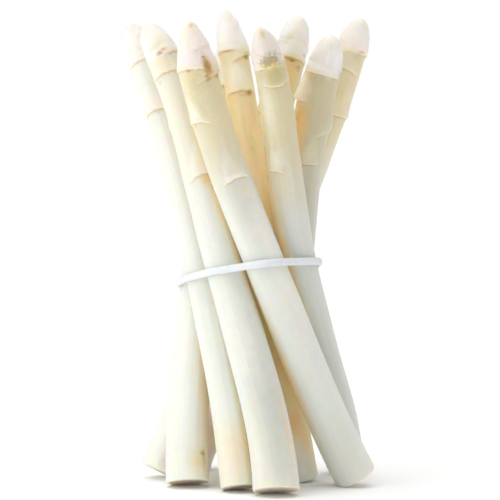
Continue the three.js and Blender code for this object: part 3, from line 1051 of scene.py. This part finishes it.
class Effects:
    """The shared node groups, built once."""

    def __init__(self):
        self.fibres = fibre_group()
        self.patch = patch_group()
        self.growth = growth_group()


# ================================ finishes ================================

@dataclass
class Patch:
    """How a ragged patch looks: how fine its grain is, how far its border wanders, how softly
    it ends, and how much of it shows."""
    grain: float
    raggedness: float
    softness: float
    amount: float


# The marks on a skin in the order that they are painted, each in the colour named after it, and
# then what the leaves and the bruise add over them. The grey and the pale kinds are partly real
# patches and partly painted shade and painted light that even out how the lamps fall across the
# bundle.
MARKS = {
    "grey_and_painted_shade": Patch(0.15, 0.2, 0.9, 0.8),
    "pale_and_painted_light": Patch(0.25, 0.3, 0.9, 0.8),
    "tan": Patch(0.25, 0.3, 0.9, 0.75),
    "olive": Patch(0.5, 0.3, 0.8, 0.75),
    "yellow": Patch(0.7, 0.3, 0.8, 0.7),
    "red": Patch(0.8, 0.35, 0.8, 0.8),
    "brown": Patch(0.9, 0.45, 0.7, 0.9),
}
UNDER_LEAF = Patch(0.3, 0.7, 0.6, 0.36)
DRY_RIM = Patch(0.3, 1.1, 0.8, 0.3)
SPECKLE = Patch(0.9, 1.2, 0.6, 0.7)
MARK_KINDS = (*MARKS, "speckle")

# How much of each colour shows: peeled strips, streaks, leaves, a leaf's lip with its painted
# highlight, and cut strands.
PEELED_AMOUNT = 0.3
STREAK_AMOUNT = 0.22
LEAF_AMOUNT = 0.35
LIP_AMOUNT = 0.5
STRAND_AMOUNT = 0.5
# How far a leaf's tint goes to the bud's, and the bud's point to its own colour.
BUD_IN_LEAF = 0.3
BUD_POINT_SHARE = 0.3
# A leaf's tone says how far it has greyed, from 0.1 up, or blushed, from -0.1 down.
GREYED = (0.1, 1.0, 0.0, 0.4)
BLUSHED = (-0.1, -1.0, 0.0, 0.45)

# How far apart the spears lie in the noise that all of them share.
PATTERN_STEP = (17.0, 31.0, 400.0)
# A waxy skin: its roughness from the lowest fibres to the highest, and its gloss; how far red,
# green and blue light scatter beside each other; and its fibres' relief.
FIBRE_ROUGHNESS = (0.3, 0.9, 0.34, 0.56)
SKIN_SPECULAR = 0.42
SKIN_SCATTER = (1.0, 0.5, 0.2)
FIBRES_ALONG = 0.05
FIBRE_BUMP = (0.25, 0.3 * MM)
# The fibre strands in the cut: how close they lie, their edges, and their relief.
STRAND_SCALE = 0.75
STRAND_EDGES = (0.34, 0.16)
STRAND_BUMP = (0.5, 0.2 * MM)


class Paint:
    """A colour built up in layers in one material."""

    def __init__(self, tree, effects, place, colour):
        self.tree = tree
        self.effects = effects
        self.place = place
        self.colour = colour

    def cover(self, amount, tint):
        """Covers the colour by an amount of a tint."""
        self.colour = blend_colour(self.tree, amount, self.colour, tint)

    def cover_where(self, name, share, tint):
        """Covers it where the mesh's mask of this name says."""
        self.cover(scaled(self.tree, attribute_of(self.tree, name), share), tint)

    def cover_ragged(self, name, patch, tint):
        """Covers it with ragged patches round where the mask of this name says."""
        ragged = use_group(self.tree, self.effects.patch, place=self.place,
                           mask=attribute_of(self.tree, name), grain=patch.grain,
                           raggedness=patch.raggedness, softness=patch.softness)
        self.cover(scaled(self.tree, ragged["Patch"], patch.amount), tint)


def new_material(name):
    """A material with its node tree and its shader."""
    material = bpy.data.materials.new(name)
    material.use_nodes = True
    tree = material.node_tree
    return material, tree, tree.nodes["Principled BSDF"]


def strand_mask(tree, place):
    """Round strands scattered across the cut face."""
    cells = add_node(tree, "TexVoronoi", {"voronoi_dimensions": "2D"},
                     {"Scale": STRAND_SCALE, "Vector": place})
    return fade(tree, cells.outputs["Distance"], *STRAND_EDGES)


def asparagus_finish(spear, length, order, effects, looks):
    """The flesh of one spear: ground colour with its painted glow, streaks, leaves, marks, some of
    them painted light and shade, and cut, under a waxy skin.
    """
    # Scales a colour by the spear's paleness, which is partly its own whiteness and partly painted
    # light and shade: the right-hand spears darker, the centre lighter where it stands in shade.
    def toned(colour):
        return opaque(tuple(min(1.0, spear.paleness_and_painted_light * part) for part in colour))

    material, tree, shader = new_material(spear.node + "_flesh")
    grown = attribute_of(tree, "grown", "Vector")
    offset = tuple(order * step for step in PATTERN_STEP)
    place = math_node(tree, "ADD", grown, offset, kind="VectorMath")
    apart = add_node(tree, "SeparateXYZ", (), {"Vector": grown})
    bud = mixed(looks.white_bud, looks.lilac_bud, spear.lilac)
    growth = use_group(
        tree, effects.growth, place=place, from_apex=apart.outputs["Z"], length=length,
        bud_end=spear.leaves[0].base, shelter=attribute_of(tree, "shelter"), bud=opaque(bud),
        bud_point=opaque(mixed(bud, looks.bud_point, BUD_POINT_SHARE)),
        upper=toned(looks.upper_stalk), lower=toned(looks.lower_stalk), root=toned(looks.root),
        sheltered=opaque(looks.sheltered), warmth=spear.warmth, tan_root=spear.tan_root,
        glow=spear.glow)
    fibres = use_group(tree, effects.fibres, place=place, across=1.0, along=FIBRES_ALONG)

    paint = Paint(tree, effects, place, growth["Colour"])
    paint.cover(scaled(tree, growth["Peeled"], PEELED_AMOUNT), toned(looks.peeled))
    paint.cover(scaled(tree, fibres["Streak"], STREAK_AMOUNT), toned(looks.streak))
    paint.cover_where("leaf", LEAF_AMOUNT, toned(mixed(looks.leaf, bud, BUD_IN_LEAF)))
    tone = attribute_of(tree, "tone")
    paint.cover(fade(tree, tone, *GREYED), toned(looks.grey_leaf))
    paint.cover(fade(tree, tone, *BLUSHED), toned(looks.pink_leaf))
    for kind, patch in MARKS.items():
        paint.cover_ragged(kind, patch, opaque(getattr(looks, kind + "_mark")))
    # Painted shade under each ledge, partly real browning, then the pale lip with its painted
    # highlight.
    paint.cover_ragged("under", UNDER_LEAF, opaque(looks.under_leaf))
    paint.cover_where("pale_lip_and_highlight", LIP_AMOUNT, opaque(looks.pale_lip_and_highlight))
    paint.cover_ragged("rim", DRY_RIM, opaque(looks.dry_rim))
    paint.cover_ragged("speckle", SPECKLE, opaque(looks.bruise_dark))
    cut = attribute_of(tree, "cut")
    strands = strand_mask(tree, place)
    paint.cover(cut, blend_colour(tree, scaled(tree, strands, STRAND_AMOUNT),
                                  opaque(looks.cut_face), opaque(looks.strand)))
    fibre_bump = bump(tree, fibres["Height"], *FIBRE_BUMP)
    feed(tree, shader, {
        "Base Color": paint.colour,
        "Roughness": fade(tree, fibres["Height"], *FIBRE_ROUGHNESS),
        "Specular IOR Level": SKIN_SPECULAR,
        "Subsurface Weight": looks.translucency,
        "Subsurface Radius": SKIN_SCATTER,
        "Subsurface Scale": looks.scatter_depth,
        "Normal": bump(tree, scaled(tree, strands, cut), *STRAND_BUMP, fibre_bump)})
    return material


def elastic_finish(looks):
    """White elastic, a little worn and dusty, with fine ribs."""
    material, tree, shader = new_material("white_elastic")
    place = attribute_of(tree, "grown", "Vector")
    ribs = noise(tree, stretch(tree, place, across=3.0, along=3.0), scale=1.0, detail=3.0,
                 roughness=0.5)
    dust = noise(tree, place, scale=0.35, detail=3.0, roughness=0.6)
    worn = fade(tree, dust, low=0.45, high=0.75, to_low=0.0, to_high=0.5)
    feed(tree, shader, {
        "Base Color": blend_colour(tree, worn, opaque(looks.elastic),
                                   opaque(looks.elastic_shade)),
        "Roughness": fade(tree, dust, low=0.3, high=0.7, to_low=0.42, to_high=0.6),
        "Subsurface Weight": 0.25,
        "Subsurface Radius": (1.0, 0.9, 0.8),
        "Subsurface Scale": 0.8 * MM,
        "Normal": bump(tree, ribs, strength=0.25, distance=0.15 * MM)})
    return material


def floor_finish(looks):
    """The plain pale floor."""
    material, tree, shader = new_material("pale_floor")
    feed(tree, shader, {"Base Color": opaque(looks.floor), "Roughness": 0.9})
    return material


# ================================ settings ================================

def tint(name, text, default):
    """A colour that a user may change."""
    return FloatVectorProperty(name=name, description=text, default=default, size=3, min=0.0,
                               max=1.0, subtype="COLOR")


def point(name, text, default):
    """A point in space that a user may move."""
    return FloatVectorProperty(name=name, description=text, default=default, size=3,
                               unit="LENGTH")


def number(name, text, default, most, least=0.0, **form):
    """A number that a user may change."""
    return FloatProperty(name=name, description=text, default=default, min=least, max=most,
                         **form)


def depth(name, text, default, most):
    """A small length that a user may change."""
    return number(name, text, default, most, unit="LENGTH", precision=5)


class BundleShape(bpy.types.PropertyGroup):
    """How the spears and the tie are shaped beyond the frame's own sizes."""
    peel_depth: depth("Peel depth", "How deep the peeler's flat strips lie in the stalk",
                      0.00008, 0.001)
    waviness: depth("Waviness", "How far a stalk swells and dips along its length",
                    0.00022, 0.001)
    rib_depth: depth("Rib depth", "Depth of the fine ribs along a stalk", 0.00005, 0.0005)
    raggedness: number("Leaf raggedness", "How far the edges of the scale leaves wander",
                       0.5, 2.0)
    tie_unevenness: number("Tie unevenness", "How much the elastic thickens and thins, as a share",
                           0.03, 0.2, subtype="FACTOR")


class BundleLooks(bpy.types.PropertyGroup):
    """The colours of the bundle, scene linear."""
    white_bud: tint("White bud", "Skin of a bud with no blush", (0.83, 0.85, 0.85))
    lilac_bud: tint("Lilac bud", "Skin of a bud with the strongest blush", (0.78, 0.73, 0.72))
    bud_point: tint("Bud point", "Greenish point of the bud", (0.60, 0.62, 0.46))
    upper_stalk: tint("Upper stalk", "Warm skin below the bud", (0.665, 0.595, 0.35))
    lower_stalk: tint("Lower stalk", "Pale skin from the tie down", (0.675, 0.705, 0.665))
    root: tint("Root", "Tan skin near the cut end", (0.72, 0.67, 0.52))
    # Painted glow: the warm tint that stands in for light bounced and scattered between the
    # spears.
    sheltered: tint("Painted glow between spears", "Skin deep between the spears", (0.98, 0.77, 0.37))
    peeled: tint("Peeled strip", "Where the peeler took the skin", (0.73, 0.75, 0.75))
    streak: tint("Streak", "Long yellow streaks", (0.70, 0.67, 0.54))
    leaf: tint("Scale leaf", "Fleshy scale leaves", (0.77, 0.73, 0.60))
    grey_leaf: tint("Grey leaf", "Scale leaves that have greened", (0.62, 0.63, 0.50))
    pink_leaf: tint("Pink leaf", "Scale leaves that have blushed", (0.78, 0.71, 0.62))
    # Pale lip, partly a painted highlight where a ledge catches the light.
    pale_lip_and_highlight: tint("Lip and painted highlight", "Bright edge of a leaf's base", (0.88, 0.83, 0.62))
    dry_rim: tint("Dry rim", "Dried edges of the scale leaves", (0.56, 0.42, 0.20))
    # Painted shade under a ledge, partly real browning.
    under_leaf: tint("Under a leaf", "Shaded skin just below a leaf's ledge", (0.62, 0.44, 0.17))
    # Grey patches, partly real duller skin and partly painted shade.
    grey_and_painted_shade_mark: tint("Grey mark and painted shade", "Duller, greyer skin", (0.52, 0.55, 0.50))
    # Whitish patches, partly real and partly painted light that lifts shaded skin.
    pale_and_painted_light_mark: tint("Pale mark and painted light", "Whitish patches", (0.86, 0.86, 0.80))
    tan_mark: tint("Tan mark", "Soft tan patches", (0.84, 0.54, 0.22))
    olive_mark: tint("Olive mark", "Greenish patches", (0.52, 0.47, 0.22))
    yellow_mark: tint("Yellow mark", "Yellow lines", (0.80, 0.64, 0.28))
    red_mark: tint("Red mark", "Red-brown spots", (0.72, 0.33, 0.10))
    brown_mark: tint("Brown mark", "Brown spots", (0.42, 0.26, 0.07))
    bruise_dark: tint("Dark bruise", "Dark specks in a bruise", (0.36, 0.30, 0.13))
    cut_face: tint("Cut face", "The cut ends", (0.78, 0.75, 0.62))
    strand: tint("Strand", "Fibre strands in the cut ends", (0.68, 0.60, 0.42))
    elastic: tint("Elastic", "The tie", (0.76, 0.78, 0.80))
    elastic_shade: tint("Elastic shade", "Worn parts of the tie", (0.68, 0.70, 0.71))
    floor: tint("Floor", "The pale floor", (0.94, 0.94, 0.94))
    translucency: number("Translucency", "Share of light that scatters inside the flesh",
                         1.0, 1.0, subtype="FACTOR")
    scatter_depth: depth("Scatter depth", "How deep red light goes into the flesh", 0.009, 0.02)


class StageSettings(bpy.types.PropertyGroup):
    """The camera and the lights."""
    camera_distance: number("Camera distance", "From the camera to the point that it looks at",
                            1.4, 5.0, least=0.3, unit="LENGTH")
    camera_rise: number("Camera rise", "Angle of the camera above level",
                        math.radians(4.0), 1.5, unit="ROTATION")
    framed_height: number("Framed height", "How much the picture takes in at the bundle",
                          0.2252, 2.0, least=0.05, unit="LENGTH")
    aim: point("Aim", "The point that the camera looks at", (0.0012, 0.0023, 0.105))
    lit_point: point("Lit point", "The point that the lights face", (0.0, 0.0, 0.1))
    key_place: point("Key place", "Where the soft light on the left hangs", (-0.35, -0.17, 0.13))
    key_power: number("Key power", "Power of the soft light on the left",
                      0.72, 100.0, unit="POWER")
    key_size: number("Key size", "Side of the square key light",
                     0.45, 2.0, least=0.01, unit="LENGTH")
    top_place: point("Top place", "Where the broad light overhead shines from", (-0.1, 0.0, 1.0))
    top_strength: number("Top strength", "Irradiance of the broad light overhead", 1.75, 20.0)
    top_spread: number("Top spread", "How wide the overhead light looks from the bundle",
                       math.radians(80.0), math.pi, unit="ROTATION")
    room_strength: number("Room strength", "Brightness of the white room as light", 0.60, 5.0)
    backdrop_strength: number("Backdrop strength", "Brightness of the white room as backdrop",
                              1.0, 5.0)
    floor_reach: number("Floor reach", "Half of the side of the square floor",
                        6.0, 50.0, least=0.5, unit="LENGTH")


# ================================ the stage ================================

# How far away the camera sees, in metres.
FARTHEST_SEEN = 50.0


def lay_floor(scene, settings, looks):
    """The pale floor that the bundle stands on."""
    reach = settings.floor_reach
    mesh = bpy.data.meshes.new("pale_floor")
    corners = [(-reach, -reach, 0), (reach, -reach, 0), (reach, reach, 0), (-reach, reach, 0)]
    mesh.from_pydata(corners, [], [(0, 1, 2, 3)])
    mesh.materials.append(floor_finish(looks))
    floor = bpy.data.objects.new("pale_floor", mesh)
    scene.collection.objects.link(floor)


def make_room(scene, settings):
    """A white room, which lights the bundle more gently than it shows."""
    world = bpy.data.worlds.new("white_room")
    world.use_nodes = True
    tree = world.node_tree
    shown = add_node(tree, "LightPath").outputs["Is Camera Ray"]
    strength = fade(tree, shown, 0.0, 1.0, settings.room_strength, settings.backdrop_strength)
    feed(tree, tree.nodes["Background"], {"Color": (1.0, 1.0, 1.0, 1.0), "Strength": strength})
    scene.world = world


def hang_lights(scene, settings):
    """A soft key light close by on the left, and a broad one overhead."""
    key = bpy.data.lights.new("key_light", "AREA")
    key.energy = settings.key_power
    key.size = settings.key_size
    top = bpy.data.lights.new("top_light", "SUN")
    top.energy = settings.top_strength
    top.angle = settings.top_spread
    for data, place in ((key, settings.key_place), (top, settings.top_place)):
        light = bpy.data.objects.new(data.name, data)
        light.location = place
        away = light.location - Vector(settings.lit_point)
        light.rotation_euler = away.to_track_quat("Z", "Y").to_euler()
        scene.collection.objects.link(light)


def place_camera(scene, settings):
    """The camera, level with the bundle and a little above it."""
    back = Vector((0.0, -math.cos(settings.camera_rise), math.sin(settings.camera_rise)))
    data = bpy.data.cameras.new("camera")
    data.lens = data.sensor_width * settings.camera_distance / settings.framed_height
    data.clip_end = FARTHEST_SEEN
    camera = bpy.data.objects.new("camera", data)
    camera.location = Vector(settings.aim) + back * settings.camera_distance
    camera.rotation_euler = (-back).to_track_quat("-Z", "Y").to_euler()
    scene.collection.objects.link(camera)
    scene.camera = camera


# ================================ operators ================================

# The first spear's seed; each that follows takes the next.
FIRST_SEED = 11


class ASPARAGUS_OT_spears(bpy.types.Operator):
    """Grow the spears on their solids"""
    bl_idname = "asparagus.spears"
    bl_label = "Spears"
    bl_options = {"REGISTER", "UNDO"}

    def execute(self, context):
        looks, shape = context.scene.asparagus_looks, context.scene.asparagus_shape
        effects = Effects()
        grown = [(spear, Axis(spear)) for spear in SPEARS]
        skins = all_skins(grown)
        for order, (spear, axis) in enumerate(grown):
            mesh = spear_mesh(spear, axis, skins, FIRST_SEED + order, shape)
            mesh.materials.append(asparagus_finish(spear, axis.length, order, effects, looks))
            place_piece(mesh, "asparagus", spear.node)
        return {"FINISHED"}


class ASPARAGUS_OT_tie(bpy.types.Operator):
    """Stretch the elastic tie round the waist"""
    bl_idname = "asparagus.tie"
    bl_label = "Elastic tie"
    bl_options = {"REGISTER", "UNDO"}

    def execute(self, context):
        mesh = tie_mesh(context.scene.asparagus_shape)
        mesh.materials.append(elastic_finish(context.scene.asparagus_looks))
        place_piece(mesh, "elastic", "tie_band")
        return {"FINISHED"}


class ASPARAGUS_OT_stage(bpy.types.Operator):
    """Set the pale floor, the soft lights and the camera"""
    bl_idname = "asparagus.stage"
    bl_label = "Stage"
    bl_options = {"REGISTER", "UNDO"}

    def execute(self, context):
        scene = context.scene
        settings = scene.asparagus_stage
        lay_floor(scene, settings, scene.asparagus_looks)
        make_room(scene, settings)
        hang_lights(scene, settings)
        place_camera(scene, settings)
        scene.view_settings.view_transform = "Standard"
        return {"FINISHED"}


class ASPARAGUS_PT_bundle(bpy.types.Panel):
    """The bundle's settings and the buttons that make its pieces"""
    bl_idname = "ASPARAGUS_PT_bundle"
    bl_label = "Asparagus bundle"
    bl_space_type = "VIEW_3D"
    bl_region_type = "UI"
    bl_category = "Asparagus"

    def draw(self, context):
        layout = self.layout
        for group in ("asparagus_shape", "asparagus_looks", "asparagus_stage"):
            settings = getattr(context.scene, group)
            box = layout.box()
            for name in settings.__annotations__:
                box.prop(settings, name)
        for operator in OPERATORS:
            layout.operator(operator.bl_idname)


OPERATORS = (ASPARAGUS_OT_spears, ASPARAGUS_OT_tie, ASPARAGUS_OT_stage)
CLASSES = (BundleShape, BundleLooks, StageSettings, *OPERATORS, ASPARAGUS_PT_bundle)


def register():
    for cls in CLASSES:
        bpy.utils.register_class(cls)
    bpy.types.Scene.asparagus_shape = PointerProperty(type=BundleShape)
    bpy.types.Scene.asparagus_looks = PointerProperty(type=BundleLooks)
    bpy.types.Scene.asparagus_stage = PointerProperty(type=StageSettings)


def unregister():
    del bpy.types.Scene.asparagus_stage
    del bpy.types.Scene.asparagus_looks
    del bpy.types.Scene.asparagus_shape
    for cls in reversed(CLASSES):
        bpy.utils.unregister_class(cls)


def main():
    """Make the bundle and its stage."""
    register()
    bpy.ops.asparagus.spears()
    bpy.ops.asparagus.tie()
    bpy.ops.asparagus.stage()


if __name__ == "__main__":
    main()
